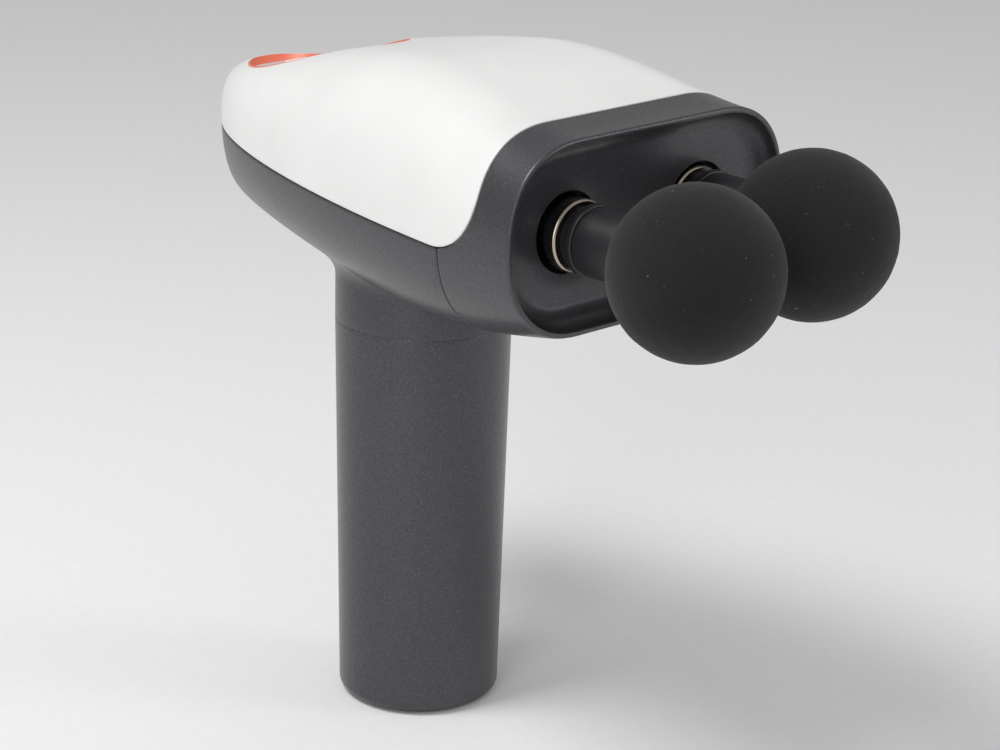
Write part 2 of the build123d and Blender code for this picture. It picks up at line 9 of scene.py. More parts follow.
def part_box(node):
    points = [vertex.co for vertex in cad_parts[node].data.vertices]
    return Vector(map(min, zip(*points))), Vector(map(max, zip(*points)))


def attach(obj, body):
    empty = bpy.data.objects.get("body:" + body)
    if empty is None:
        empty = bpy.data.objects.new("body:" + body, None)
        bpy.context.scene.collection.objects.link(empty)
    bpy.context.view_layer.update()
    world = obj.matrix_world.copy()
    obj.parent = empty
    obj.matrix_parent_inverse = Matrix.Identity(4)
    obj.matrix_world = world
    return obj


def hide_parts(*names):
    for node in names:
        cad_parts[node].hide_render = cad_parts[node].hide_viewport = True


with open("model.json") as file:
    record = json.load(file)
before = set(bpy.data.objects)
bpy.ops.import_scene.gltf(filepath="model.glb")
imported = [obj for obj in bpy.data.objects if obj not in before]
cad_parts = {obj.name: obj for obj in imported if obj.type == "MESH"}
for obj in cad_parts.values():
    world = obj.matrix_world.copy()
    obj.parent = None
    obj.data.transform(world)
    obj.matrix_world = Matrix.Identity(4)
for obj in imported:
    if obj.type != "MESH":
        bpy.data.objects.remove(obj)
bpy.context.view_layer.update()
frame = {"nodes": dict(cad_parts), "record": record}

# ---- Body form ----
# The housing is one smooth form: a stadium-shaped rim in front, a crest just ahead of the handle's axis and
# a rounded rear.
# Its three shells are cut from this form, so the form comes first: millimetres behind the rim and from the
# piston axes' level.
mm = 0.001
sleeve_low, sleeve_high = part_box("right_piston_sleeve")
shaft_level = (sleeve_low.z + sleeve_high.z) / 2 / mm
nose_reach = -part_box("nose_shell")[0].y / mm
body_length = 177.0
rim_half_width = 50.4
rim_half_height = 26.4
crest_at = 0.34
crown_rise = 8.4
belly_drop = 8.4
back_fall = 23.8
belly_fall = 6.2
end_round = 6
flat_half_width = 24
widest_drop = 2
upper_fullness = 2.4
lower_fullness = 2.2


def form(share):
    """Half width, top, bottom, widest level and flat half width of a cross-section."""
    taper = max(1 - share ** 1.7, 0.0)
    swell = math.sin(math.pi / 2 * min(share / crest_at, 1))
    behind = max(share - crest_at, 0) / (1 - crest_at)
    rounding = end_round * (1 - math.sqrt(max(1 - behind ** 14, 0)))
    top = rim_half_height + crown_rise * swell ** 1.7 - back_fall * behind ** 1.4 - rounding
    bottom = -rim_half_height - belly_drop * swell + belly_fall * behind ** 1.4 + rounding
    half_width = rim_half_width * taper ** 0.57
    widest = -widest_drop * min(share / 0.2, 1)
    flat = flat_half_width * taper ** 2.2 + 0.8 * taper
    return half_width, top, bottom, widest, flat


def height_at(x, distance, upper):
    """Height of the form's surface over a point, above or below its widest level."""
    half_width, top, bottom, widest, flat = form(min(distance / body_length, 1.0))
    edge = top if upper else bottom
    fullness = upper_fullness if upper else lower_fullness
    out = max(abs(x) - flat, 0) / max(half_width - flat, 1e-6)
    return widest + (edge - widest) * max(1 - min(out, 1) ** fullness, 0) ** (1 / fullness)


def half_section(distance):
    """Right half of a cross-section as closely spaced points, top centre to bottom centre."""
    half_width, top, bottom, widest, flat = form(min(distance / body_length, 1.0))
    points = [(0.0, top)]
    above, below = (top, upper_fullness, range(0, 181)), (bottom, lower_fullness, range(180, -1, -1))
    for edge, fullness, turns in (above, below):
        for turn in turns:
            angle = math.pi / 360 * turn
            x = flat + (half_width - flat) * math.sin(angle) ** (2 / fullness)
            points.append((x, widest + (edge - widest) * max(math.cos(angle), 0) ** (2 / fullness)))
    return points + [(0.0, bottom)]


def resample(points, fractions):
    """Points at given fractions of a polyline's length."""
    lengths = [0.0]
    for before, after in zip(points, points[1:]):
        lengths.append(lengths[-1] + math.dist(before, after))
    found, at = [], 0
    for fraction in fractions:
        goal = fraction * lengths[-1]
        while at < len(points) - 2 and lengths[at + 1] < goal:
            at += 1
        span = lengths[at + 1] - lengths[at]
        part = (goal - lengths[at]) / span if span > 1e-9 else 0
        found.append(tuple(a + (b - a) * part for a, b in zip(points[at], points[at + 1])))
    return found


def spread(low, high, count):
    """Evenly spaced values, both ends included."""
    return [low + (high - low) * index / (count - 1) for index in range(count)]


def place(x, distance, height):
    """A point of the body form in the row frame."""
    return Vector((x, distance - nose_reach, height + shaft_level)) * mm


def sheet_of(rows, closed=False):
    """A bmesh with one face between each four neighbouring points of the rows."""
    mesh = bmesh.new()
    lines = [[mesh.verts.new(point) for point in row] for row in rows]
    columns = len(rows[0])
    for upper, lower in zip(lines, lines[1:]):
        for index in range(columns if closed else columns - 1):
            after = (index + 1) % columns
            mesh.faces.new((upper[index], upper[after], lower[after], lower[index]))
    return mesh, lines


def face_away(mesh, middle):
    """Turns an open shell's faces away from a point inside it."""
    bmesh.ops.recalc_face_normals(mesh, faces=mesh.faces)
    outward = sum(
        face.normal.dot(face.calc_center_median() - middle) * face.calc_area() for face in mesh.faces
    )
    if outward < 0:
        bmesh.ops.reverse_faces(mesh, faces=mesh.faces)


def turn_in(mesh, edges, radius, depth):
    """Rounds a shell's free edge over and turns it inward, as a moulded shell's edge is."""
    mesh.normal_update()
    normal_at, out_at = {}, {}
    for edge in edges:
        face = edge.link_faces[0]
        along = (edge.verts[1].co - edge.verts[0].co).normalized()
        away = (edge.verts[0].co + edge.verts[1].co) / 2 - face.calc_center_median()
        away -= along * away.dot(along)
        away -= face.normal * away.dot(face.normal)
        for vert in edge.verts:
            normal_at[vert] = normal_at.get(vert, Vector()) + face.normal
            out_at[vert] = out_at.get(vert, Vector()) + away.normalized()
    ring = {vert: vert for vert in normal_at}
    home = {vert: vert.co.copy() for vert in normal_at}
    steps = [(math.sin(turn), 1 - math.cos(turn)) for turn in (math.pi / 6, math.pi / 3, math.pi / 2)]
    for out, down in [(a * radius, b * radius) for a, b in steps] + [(radius, depth)]:
        after = {}
        for vert in ring:
            shift = out_at[vert].normalized() * out - normal_at[vert].normalized() * down
            after[vert] = mesh.verts.new(home[vert] + shift)
        for edge in edges:
            first, second = edge.verts
            quad = (ring[first], ring[second], after[second], after[first])
            mesh.faces.new(quad)
        ring = after


def piece(name, mesh, body, finish, sharp=35, merge=0.005):
    """Makes the mesh an object that rides on a body, smooth except at sharp edges."""
    bmesh.ops.remove_doubles(mesh, verts=mesh.verts, dist=merge * mm)
    bmesh.ops.recalc_face_normals(mesh, faces=mesh.faces)
    for face in mesh.faces:
        face.smooth = True
    for edge in mesh.edges:
        edge.smooth = edge.calc_face_angle(0) < math.radians(sharp)
    data = bpy.data.meshes.new(name)
    mesh.to_mesh(data)
    mesh.free()
    made = bpy.data.objects.new(name, data)
    bpy.context.scene.collection.objects.link(made)
    data.materials.append(finish)
    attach(made, body)
    return made


def colour(text):
    """Linear colour of an sRGB hex value."""
    parts = [int(text[at:at + 2], 16) / 255 for at in (1, 3, 5)]
    return tuple(p / 12.92 if p <= 0.04045 else ((p + 0.055) / 1.055) ** 2.4 for p in parts) + (1.0,)


def node(material, kind, settings=None, **inputs):
    """Adds a shader node; an input given as another node's output is linked, any other is set."""
    made = material.node_tree.nodes.new("ShaderNode" + kind)
    for key, value in (settings or {}).items():
        setattr(made, key, value)
    for key, value in inputs.items():
        socket = made.inputs[int(key[1:])] if key[0] == "_" else made.inputs[key.replace("_", " ")]
        if isinstance(value, bpy.types.NodeSocket):
            material.node_tree.links.new(value, socket)
        else:
            socket.default_value = value
    return made


def new_material(name, **constants):
    """A material with its Principled shader's own sockets set, and object coordinates in metres."""
    made = bpy.data.materials.new(name)
    made.use_nodes = True
    shader = made.node_tree.nodes["Principled BSDF"]
    for key, value in constants.items():
        shader.inputs[key.replace("_", " ")].default_value = value
    return made, shader, node(made, "TexCoord").outputs["Object"]


def join(material, output, shader, name):
    """Links a node's output to one of the shader's inputs."""
    material.node_tree.links.new(output, shader.inputs[name])


# ---- Top cover ----
# One injection-moulded lid of glossy white ABS over the back of the housing. It has a level lower edge,
# a rounded lower front corner, a fine moulded texture and an oval opening for the control panel.
edge_radius = 0.35
edge_depth = 2.0
cover_front = 14.2 + edge_radius
cover_edge = -5.0 + edge_radius
cover_corner = 17.6
corner_middle = cover_front + cover_corner
panel_half_width = 17.5
panel_half_length = 31.5
panel_middle = 0.75 * body_length
panel_sink = 1.4
panel_front_top = form((panel_middle - panel_half_length) / body_length)[1]
panel_rear_top = form((panel_middle + panel_half_length) / body_length)[1]
panel_height = (panel_front_top + panel_rear_top) / 2 - panel_sink
panel_slope = math.atan((panel_front_top - panel_rear_top) / (2 * panel_half_length))


def cut_section(distance, stop):
    """The half section from the top centre down to a height."""
    points = half_section(distance)
    kept = [point for point in points if point[1] > stop]
    if len(kept) < len(points):
        (x0, z0), (x1, z1) = kept[-1], points[len(kept)]
        kept.append((x0 + (x1 - x0) * (z0 - stop) / max(z0 - z1, 1e-9), stop))
    return kept


cover_rows = []
cover_cuts = []
for turn in spread(0, math.pi / 2, 24):
    along, down = 1 - math.cos(turn), math.sin(turn)
    cover_cuts.append((cover_front + cover_corner * along, cover_edge + cover_corner * (1 - down)))
rear_turns = spread(0, math.pi / 2, 170)[1:]
cover_cuts += [
    (corner_middle + (body_length - corner_middle) * math.sin(turn), cover_edge) for turn in rear_turns
]
for distance, stop in cover_cuts:
    half = resample(cut_section(distance, stop), spread(0, 1, 90))
    row = [(-x, z) for x, z in half[:0:-1]] + half
    cover_rows.append([place(x, distance, z) for x, z in row])
cover_mesh, _ = sheet_of(cover_rows)


def on_panel(point):
    """A point's place in the panel's own plane: across, along the slope and above it."""
    across = point.x / mm
    along = point.y / mm + nose_reach - panel_middle
    up = point.z / mm - shaft_level - panel_height
    tilt = (math.cos(panel_slope), math.sin(panel_slope))
    return across, along * tilt[0] - up * tilt[1], along * tilt[1] + up * tilt[0]


ring_clearance = 0.05
opening_margin = ring_clearance + edge_radius
opening = (panel_half_width + opening_margin, panel_half_length + opening_margin)


def oval_share(point):
    """How far out a point of the back is, as a share of the way to the opening's edge."""
    across, along, up = on_panel(point)
    if up < -12:
        return 9.0
    return math.hypot(across / opening[0], along / opening[1])


inside = [vert for vert in cover_mesh.verts if oval_share(vert.co) < 1]
bmesh.ops.delete(cover_mesh, geom=inside, context="VERTS")
rim = {
    vert
    for edge in cover_mesh.edges
    if edge.is_boundary
    for vert in edge.verts
    if oval_share(vert.co) < 1.25
}
for vert in rim:
    across, along, up = on_panel(vert.co)
    share = math.hypot(across / opening[0], along / opening[1])
    x, goal = across / share, along / share
    distance = panel_middle + goal * math.cos(panel_slope)
    for _ in range(8):
        height = height_at(x, distance, True)
        reached = on_panel(place(x, distance, height))[1]
        distance += (goal - reached) * math.cos(panel_slope)
    vert.co = place(x, distance, height)
bmesh.ops.remove_doubles(cover_mesh, verts=cover_mesh.verts, dist=0.02 * mm)
body_middle = place(0, 80, 0)
face_away(cover_mesh, body_middle)
cover_rims = [edge for edge in cover_mesh.edges if edge.is_boundary]
turn_in(cover_mesh, cover_rims, edge_radius * mm, edge_depth * mm)

# Glossy ABS: white with a trace of grey, a shallow orange peel a few millimetres across and fine mould grain.
white, shader, at = new_material("white_abs", Base_Color=colour("#E9E9E8"), Roughness=0.3, IOR=1.53)
peel = node(white, "TexNoise", Vector=at, Scale=260.0, Detail=2.0).outputs[0]
grain = node(white, "TexNoise", Vector=at, Scale=2600.0, Detail=3.0).outputs[0]
peel_bump = node(white, "Bump", Height=peel, Strength=0.12, Distance=0.00006).outputs[0]
bump = node(white, "Bump", Height=grain, Strength=0.25, Distance=0.00003, Normal=peel_bump).outputs[0]
join(white, bump, shader, "Normal")
gloss = node(white, "MapRange", Value=grain, _3=0.27, _4=0.36).outputs[0]
join(white, gloss, shader, "Roughness")
tint = node(white, "TexNoise", Vector=at, Scale=30.0, Detail=4.0).outputs[0]
shade = node(white, "ValToRGB", Fac=tint)
shade.color_ramp.elements[0].position = 0.3
shade.color_ramp.elements[0].color = colour("#E5E5E4")
shade.color_ramp.elements[1].position = 0.7
shade.color_ramp.elements[1].color = colour("#EBEBEA")
join(white, shade.outputs[0], shader, "Base Color")
cover = piece("top_cover_shell", cover_mesh, "gun", white)
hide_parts("top_cover")

# ---- Nose shell ----
# The front housing in graphite metallic paint: a collar round the rim, a narrow flat lip, a dished front
# face and two round holes that the pistons come through.
seam_gap = 0.3
side_seam = 28.7
nose_rear = side_seam - edge_radius
notch_front = cover_front - seam_gap - 2 * edge_radius
notch_edge = cover_edge - seam_gap - 2 * edge_radius
notch_corner = corner_middle - notch_front
notch_level = notch_edge + notch_corner
dish_depth = 6.2
rim_round = 0.75
lip_width = 1.6
cove_start = 0.45
cove_width = 5.9
hole_radius = 10.95
piston_half_spacing = (sleeve_low.x + sleeve_high.x) / 2 / mm


def nose_limit(height):
    """How far back the nose reaches at a height: the cover's edge above, the belly seam below."""
    if height >= notch_level:
        return notch_front
    drop = min((notch_level - height) / notch_corner, 1.0)
    return min(corner_middle - notch_corner * math.sqrt(1 - drop ** 2), nose_rear)


def nose_end(fraction):
    """Distance and point where one line along the nose meets its rear edge."""
    distance = notch_front
    for _ in range(30):
        x, z = resample(half_section(distance), [fraction])[0]
        distance += (nose_limit(z) - distance) * 0.5
    return distance, z


low, high = 0.2, 0.8
for _ in range(22):
    middle = (low + high) / 2
    low, high = (middle, high) if nose_end(middle)[0] < nose_rear - 0.01 else (low, middle)
fractions = spread(0, high, 64) + spread(high, 1, 64)[1:]
rim_half = resample(half_section(0), fractions)
rim_loop = rim_half + [(-x, z) for x, z in rim_half[-2:0:-1]]


def inset(loop, amount):
    """A closed outline moved inward by an amount."""
    moved = []
    for index, (x, z) in enumerate(loop):
        before, after = loop[index - 1], loop[(index + 1) % len(loop)]
        along = Vector((after[0] - before[0], after[1] - before[1])).normalized()
        moved.append((x + along.y * amount, z - along.x * amount))
    return moved


def smaller(loop, amount):
    """inset() on whichever side makes the outline smaller."""
    one, other = inset(loop, amount), inset(loop, -amount)
    return min(one, other, key=lambda points: max(abs(x) for x, z in points))


cove = [
    (lip_width + cove_width * (1 - math.cos(turn)), cove_start + (dish_depth - cove_start) * math.sin(turn))
    for turn in spread(0, math.pi / 2, 16)
]
rim_profile = [(0.0, rim_round), (0.09, 0.36), (0.32, 0.1), (0.62, 0.0)]
rim_profile += [(1.15, 0.0), (1.4, 0.08), (1.56, 0.26)]
nose_rows = [
    [place(x, depth, z) for x, z in smaller(rim_loop, amount)]
    for amount, depth in reversed(rim_profile + cove)
]
ends = [nose_end(fraction)[0] for fraction in fractions]
for step in spread(0, 1, 40)[1:]:
    row = []
    for fraction, end in zip(fractions, ends):
        distance = rim_round + (end - rim_round) * step
        x, z = resample(half_section(distance), [fraction])[0]
        row.append((x, distance, z))
    row += [(-x, distance, z) for x, distance, z in row[-2:0:-1]]
    nose_rows.append([place(*point) for point in row])
nose_mesh, nose_lines = sheet_of(nose_rows, closed=True)
rear_edges = [
    edge
    for edge in nose_mesh.edges
    if edge.is_boundary and edge.verts[0] in set(nose_lines[-1]) and edge.verts[1] in set(nose_lines[-1])
]
floor_edges = [edge for edge in nose_mesh.edges if edge.is_boundary and edge not in rear_edges]
hole_steps = [(0.3, 0.0), (0.09, 0.09), (0.0, 0.3), (0.0, 2.6)]
turns = spread(0, 2 * math.pi, 97)[:-1]
for middle in (piston_half_spacing, -piston_half_spacing):
    rings = []
    for grow, depth in hole_steps:
        radius = hole_radius + grow
        rings.append([
            nose_mesh.verts.new(
                place(middle + radius * math.cos(turn), dish_depth + depth, radius * math.sin(turn))
            )
            for turn in turns
        ])
    for outer, inner in zip(rings, rings[1:]):
        for index in range(len(turns)):
            after = (index + 1) % len(turns)
            nose_mesh.faces.new((outer[index], outer[after], inner[after], inner[index]))
    floor_edges += [nose_mesh.edges.get((rings[0][at - 1], rings[0][at])) for at in range(len(turns))]
bmesh.ops.triangle_fill(nose_mesh, edges=floor_edges, use_beauty=True)
bmesh.ops.recalc_face_normals(nose_mesh, faces=nose_mesh.faces)
collar_face = max(nose_mesh.faces, key=lambda face: face.calc_center_median().z)
if collar_face.normal.z < 0:
    bmesh.ops.reverse_faces(nose_mesh, faces=nose_mesh.faces)
turn_in(nose_mesh, rear_edges, edge_radius * mm, edge_depth * mm)

# Metallic paint on ABS: dark graphite base, aluminium flakes about 0.15 mm across that each catch the light
# their own way, and a satin clear coat with faint peel.
graphite, shader, at = new_material(
    "graphite_metallic_paint", Metallic=0.55, IOR=1.5, Coat_Weight=0.35, Coat_Roughness=0.22
)
flakes = node(graphite, "TexVoronoi", Vector=at, Scale=6500.0)
flake_value = node(graphite, "SeparateColor", Color=flakes.outputs["Color"]).outputs[0]
flake_shade = node(graphite, "ValToRGB", Fac=flake_value)
flake_shade.color_ramp.elements[0].color = colour("#38383C")
flake_shade.color_ramp.elements[1].color = colour("#4E4E52")
sparkle = flake_shade.color_ramp.elements.new(0.93)
sparkle.color = colour("#4E4E52")
flake_shade.color_ramp.elements[2].color = colour("#6C6C70")
join(graphite, flake_shade.outputs[0], shader, "Base Color")
flake_rough = node(graphite, "MapRange", Value=flake_value, _3=0.5, _4=0.36).outputs[0]
join(graphite, flake_rough, shader, "Roughness")
peel = node(graphite, "TexNoise", Vector=at, Scale=420.0, Detail=2.0).outputs[0]
flake_bump = node(graphite, "Bump", Height=flake_value, Strength=0.3, Distance=0.00003).outputs[0]
bump = node(graphite, "Bump", Height=peel, Strength=0.1, Distance=0.00006, Normal=flake_bump).outputs[0]
join(graphite, bump, shader, "Normal")
nose = piece("nose_collar", nose_mesh, "gun", graphite)
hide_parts("nose_shell")

# ---- Lower shell ----
# The belly of the housing and the neck under it are one graphite moulding, with a soft fillet where the
# round neck grows out of the belly. It is laid out in rays from the handle axis.
belly_front = side_seam + seam_gap + edge_radius
neck_radius = 25.4
neck_fillet = 4.2
neck_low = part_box("lower_shell")[0].z / mm - shaft_level
axis_distance = nose_reach
shortest_ray = 26.0
longest_ray = 110.0
front_rays = 70


def belly_at(turn, radius):
    """A point of the belly's surface on a ray: across, behind the rim and height."""
    x, distance = radius * math.cos(turn), axis_distance + radius * math.sin(turn)
    return x, distance, height_at(x, distance, False)


def belly_ray_inside(turn, radius):
    """Whether a ray's point is still under the cover's edge and behind the nose."""
    x, distance = radius * math.cos(turn), axis_distance + radius * math.sin(turn)
    if distance < belly_front or distance > body_length - 0.01:
        return False
    return abs(x) < form(distance / body_length)[0] and height_at(x, distance, False) < notch_edge


def ray_end(turn):
    """How far a ray reaches before it meets the cover's edge, the nose or the rear."""
    low, high = shortest_ray, longest_ray
    for _ in range(34):
        middle = (low + high) / 2
        low, high = (middle, high) if belly_ray_inside(turn, middle) else (low, middle)
    return low


low, high = 0.0, rim_half_width
for _ in range(30):
    middle = (low + high) / 2
    low, high = (middle, high) if height_at(middle, belly_front, False) < notch_edge else (low, middle)
front_turn = math.atan2(axis_distance - belly_front, low)
ray_turns = spread(-math.pi / 2, -front_turn, front_rays)
ray_turns += spread(-front_turn, 0, 70)[1:]
ray_turns += [math.pi / 2 * (1 - (1 - step) ** 1.6) for step in spread(0, 1, 120)[1:]]
half_rays = []
for number, turn in enumerate(ray_turns):
    end = ray_end(turn)
    start = neck_radius + neck_fillet
    radii = [start + (end - start) * math.sin(math.pi / 2 * step) for step in spread(0, 1, 200)]
    line = [belly_at(turn, radius) for radius in radii]
    if number >= front_rays - 1:
        line[-1] = (line[-1][0], line[-1][1], notch_edge)
    line = resample(line, spread(0, 1, 60))
    x, distance, height = line[0]
    beyond = belly_at(turn, start + 0.5)
    knee = height - (beyond[2] - height) / 0.5 * neck_fillet
    bend = []
    for step in spread(0, 1, 12)[:-1]:
        radius = neck_radius + neck_fillet * step ** 2
        lower = knee - neck_fillet
        up = lower * (1 - step) ** 2 + 2 * knee * step * (1 - step) + height * step ** 2
        bend.append((radius * math.cos(turn), axis_distance + radius * math.sin(turn), up))
    stalk = [
        (bend[0][0], bend[0][1], neck_low + (bend[0][2] - neck_low) * step) for step in spread(0, 1, 8)[:-1]
    ]
    half_rays.append(stalk + bend + line)
rays = half_rays + [[(-x, d, z) for x, d, z in ray] for ray in half_rays[-2:0:-1]]
belly_rows = [[place(*point) for point in row] for row in zip(*rays)]
belly_mesh, _ = sheet_of(belly_rows, closed=True)
face_away(belly_mesh, place(0, axis_distance, -20))
belly_rims = [edge for edge in belly_mesh.edges if edge.is_boundary]
turn_in(belly_mesh, belly_rims, edge_radius * mm, edge_depth * mm)
belly = piece("lower_shell_and_neck", belly_mesh, "gun", graphite)
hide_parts("lower_shell")

# ---- Handle ----
# A slightly tapered round grip in the same graphite paint, with a softly rounded lower end and a fine seam
# under the neck. The charging socket sits low in its back.
handle_low, handle_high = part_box("handle_tube")
handle_base = handle_low.z / mm
neck_seam = 0.06
handle_top = handle_high.z / mm + seam_gap - neck_seam
base_radius = 23.6
base_round = 3.0
base_bore = 21.02
top_round = 0.12
top_inner_radius = 22.6


def lathe(profile, middle, direction, steps=160):
    """A profile of (radius, place along the axis) spun a full turn; millimetres."""
    mesh = bmesh.new()
    along = Vector(direction).normalized()
    across = along.orthogonal().normalized()
    points = [mesh.verts.new(Vector(middle) + (across * radius + along * at) * mm) for radius, at in profile]
    edges = [mesh.edges.new(pair) for pair in zip(points, points[1:])]
    bmesh.ops.spin(
        mesh, geom=points + edges, cent=middle, axis=along, angle=2 * math.pi, steps=steps, use_merge=True
    )
    bmesh.ops.remove_doubles(mesh, verts=mesh.verts, dist=0.002 * mm)
    return mesh


def arc(centre_radius, centre_at, radius, start, end, count=8):
    """Points of a rounded corner in a lathe profile; angles in degrees from straight out."""
    turns = [math.radians(turn) for turn in spread(start, end, count)]
    return [(centre_radius + radius * math.cos(turn), centre_at + radius * math.sin(turn)) for turn in turns]


grip = [(base_bore, handle_base + 6), (base_bore, handle_base + 0.3)]
grip += arc(base_radius - base_round, handle_base + base_round, base_round, -90, -1, 14)
grip += [
    (base_radius + (neck_radius - base_radius) * step, handle_base + base_round + 1 + (handle_top - 5) * step)
    for step in spread(0.02, 0.99, 30)
]
grip += arc(neck_radius - top_round, handle_top - top_round, top_round, 0, 90, 4)
grip += [(top_inner_radius, handle_top)]
handle_mesh = lathe(grip, (0, 0, 0), (0, 0, 1), 192)
handle = piece("handle_grip", handle_mesh, "gun", graphite)
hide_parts("handle_tube")

# ---- Base ----
# A black cap closes the handle's lower end, under a thin ribbed rubber foot that the gun stands on.
rubber, shader, at = new_material("black_rubber", Base_Color=colour("#1A1A1B"), Roughness=0.75, IOR=1.52)
dust = node(rubber, "TexNoise", Vector=at, Scale=900.0, Detail=5.0).outputs[0]
dusty = node(rubber, "MapRange", Value=dust, _3=0.65, _4=0.85).outputs[0]
join(rubber, dusty, shader, "Roughness")
bump = node(rubber, "Bump", Height=dust, Strength=0.3, Distance=0.00005).outputs[0]
join(rubber, bump, shader, "Normal")
foot_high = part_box("base_foot")[1]
foot_radius = foot_high.x / mm
foot_height = foot_high.z / mm
groove_depth = 0.25
ribs = [(0.0, groove_depth)]
for rib in spread(6, 16, 6):
    ribs += [(rib - 0.7, groove_depth), (rib - 0.5, 0.0), (rib + 0.5, 0.0), (rib + 0.7, groove_depth)]
foot_profile = ribs + [(foot_radius - 1.0, 0.0), (foot_radius - 0.3, 0.1), (foot_radius, 0.4)]
foot_profile += [(foot_radius, foot_height), (0.0, foot_height)]
foot = piece("ribbed_foot", lathe(foot_profile, (0, 0, 0), (0, 0, 1), 128), "gun", rubber)
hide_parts("base_foot")

# ---- Piston sleeves ----
# Two hollow steel sleeves, dark plated and polished, slide in and out of the dish. Each has a bright
# chamfer round its mouth and fine lengthwise wear.
plated, shader, at = new_material("dark_plated_steel", Metallic=1.0, Base_Color=colour("#57575A"))
lengthwise = node(plated, "Mapping", Vector=at, Scale=(1.0, 0.05, 1.0)).outputs[0]
streak = node(plated, "TexNoise", Vector=lengthwise, Scale=2200.0, Detail=4.0).outputs[0]
worn = node(plated, "MapRange", Value=streak, _3=0.2, _4=0.38).outputs[0]
join(plated, worn, shader, "Roughness")
tone = node(plated, "ValToRGB", Fac=streak)
tone.color_ramp.elements[0].color = colour("#3F3F43")
tone.color_ramp.elements[1].color = colour("#6A6A6E")
join(plated, tone.outputs[0], shader, "Base Color")
bump = node(plated, "Bump", Height=streak, Strength=0.08, Distance=0.00002).outputs[0]
join(plated, bump, shader, "Normal")

bright, shader, at = new_material("bright_turned_steel", Metallic=1.0, Base_Color=colour("#B3A697"))
turned = node(bright, "TexNoise", Vector=at, Scale=3000.0, Detail=3.0).outputs[0]
ring_rough = node(bright, "MapRange", Value=turned, _3=0.16, _4=0.32).outputs[0]
join(bright, ring_rough, shader, "Roughness")
bump = node(bright, "Bump", Height=turned, Strength=0.1, Distance=0.00002).outputs[0]
join(bright, bump, shader, "Normal")

sleeve_radius = (sleeve_high.x - sleeve_low.x) / 2 / mm
socket_radius = 7.0
mouth_chamfer = 0.5
for side in ("right", "left"):
    low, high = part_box(f"{side}_piston_sleeve")
    middle = ((low.x + high.x) / 2, low.y, (low.z + high.z) / 2)
    length = (high.y - low.y) / mm
    profile = [(socket_radius, length), (socket_radius, mouth_chamfer), (socket_radius + mouth_chamfer, 0.0)]
    profile += [(sleeve_radius - mouth_chamfer, 0.0), (sleeve_radius - 0.45, 0.03)]
    profile += [(sleeve_radius - 0.04, 0.44), (sleeve_radius, 0.52)]
    profile += [(sleeve_radius, length - mouth_chamfer), (sleeve_radius - mouth_chamfer, length)]
    mesh = lathe(profile + [(socket_radius, length)], middle, (0, 1, 0), 128)
    sleeve = piece(f"{side}_sleeve", mesh, f"{side}_piston", plated, sharp=25)
    sleeve.data.materials.append(bright)
    for face in sleeve.data.polygons:
        radius = math.hypot(face.center.x - middle[0], face.center.z - middle[2]) / mm
        at_mouth = (face.center.y - low.y) / mm < mouth_chamfer and radius > sleeve_radius - 0.52
        face.material_index = int(at_mouth)
    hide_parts(f"{side}_piston_sleeve")

# ---- Head stems ----
# Satin black moulded stems. Each plugs into its sleeve and has a groove to prise it out by, a thin flange
# and a plain neck that runs into the foam ball.
nylon, shader, at = new_material("black_nylon", Base_Color=colour("#202023"), IOR=1.53)
grain = node(nylon, "TexNoise", Vector=at, Scale=1800.0, Detail=4.0).outputs[0]
satin = node(nylon, "MapRange", Value=grain, _3=0.34, _4=0.5).outputs[0]
join(nylon, satin, shader, "Roughness")
bump = node(nylon, "Bump", Height=grain, Strength=0.2, Distance=0.00003).outputs[0]
join(nylon, bump, shader, "Normal")
stem_radius = 9.2
groove_length = 3.4
flange_length = 2.2
ball_reach = 40.6
for side in ("right", "left"):
    low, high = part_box(f"{side}_piston_sleeve")
    middle = ((low.x + high.x) / 2, low.y, (low.z + high.z) / 2)
    flange_front = groove_length + flange_length
    profile = [(0.0, -20.0), (6.0, -20.0), (6.95, -19.0), (6.95, -16.0), (5.4, -16.0), (5.4, -14.0)]
    profile += [(6.95, -14.0), (6.95, 0.1), (stem_radius - 1.4, 0.1), (stem_radius - 1.4, groove_length)]
    profile += arc(stem_radius, groove_length + 0.4, 0.4, -90, 0, 5)
    profile += arc(stem_radius, flange_front - 0.4, 0.4, 0, 90, 5)
    profile += [(stem_radius - 0.35, flange_front + 0.05), (stem_radius - 0.35, flange_front + 0.55)]
    profile += [(stem_radius, flange_front + 0.9)]
    profile += [(stem_radius, at) for at in spread(flange_front + 2, ball_reach - 12.3, 9)]
    profile += [(stem_radius - 0.3, ball_reach - 12), (7.0, ball_reach - 12), (7.0, ball_reach + 9.7)]
    profile += [(6.7, ball_reach + 10), (0.0, ball_reach + 10)]
    mesh = lathe(profile, middle, (0, -1, 0), 128)
    stem = piece(f"{side}_stem", mesh, f"{side}_head", nylon)
    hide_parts(f"{side}_head_stem")

# ---- Foam balls ----
# Moulded closed-cell foam, matt black, with a finely pitted skin: pores under a millimetre, low swells a
# few millimetres across, and the odd pale fleck of dust.
foam, shader, at = new_material("black_foam", Roughness=0.92, IOR=1.45, Sheen_Weight=0.08)
pores = node(foam, "TexVoronoi", Vector=at, Scale=1500.0).outputs["Distance"]
grains = node(foam, "TexNoise", Vector=at, Scale=1100.0, Detail=6.0, Roughness=0.7).outputs[0]
lumps = node(foam, "TexNoise", Vector=at, Scale=240.0, Detail=3.0).outputs[0]
lump_bump = node(foam, "Bump", Height=lumps, Strength=0.25, Distance=0.0003).outputs[0]
grain_bump = node(foam, "Bump", Height=grains, Strength=0.6, Distance=0.00018, Normal=lump_bump).outputs[0]
bump = node(foam, "Bump", Height=pores, Strength=0.35, Distance=0.00012, Normal=grain_bump).outputs[0]
join(foam, bump, shader, "Normal")
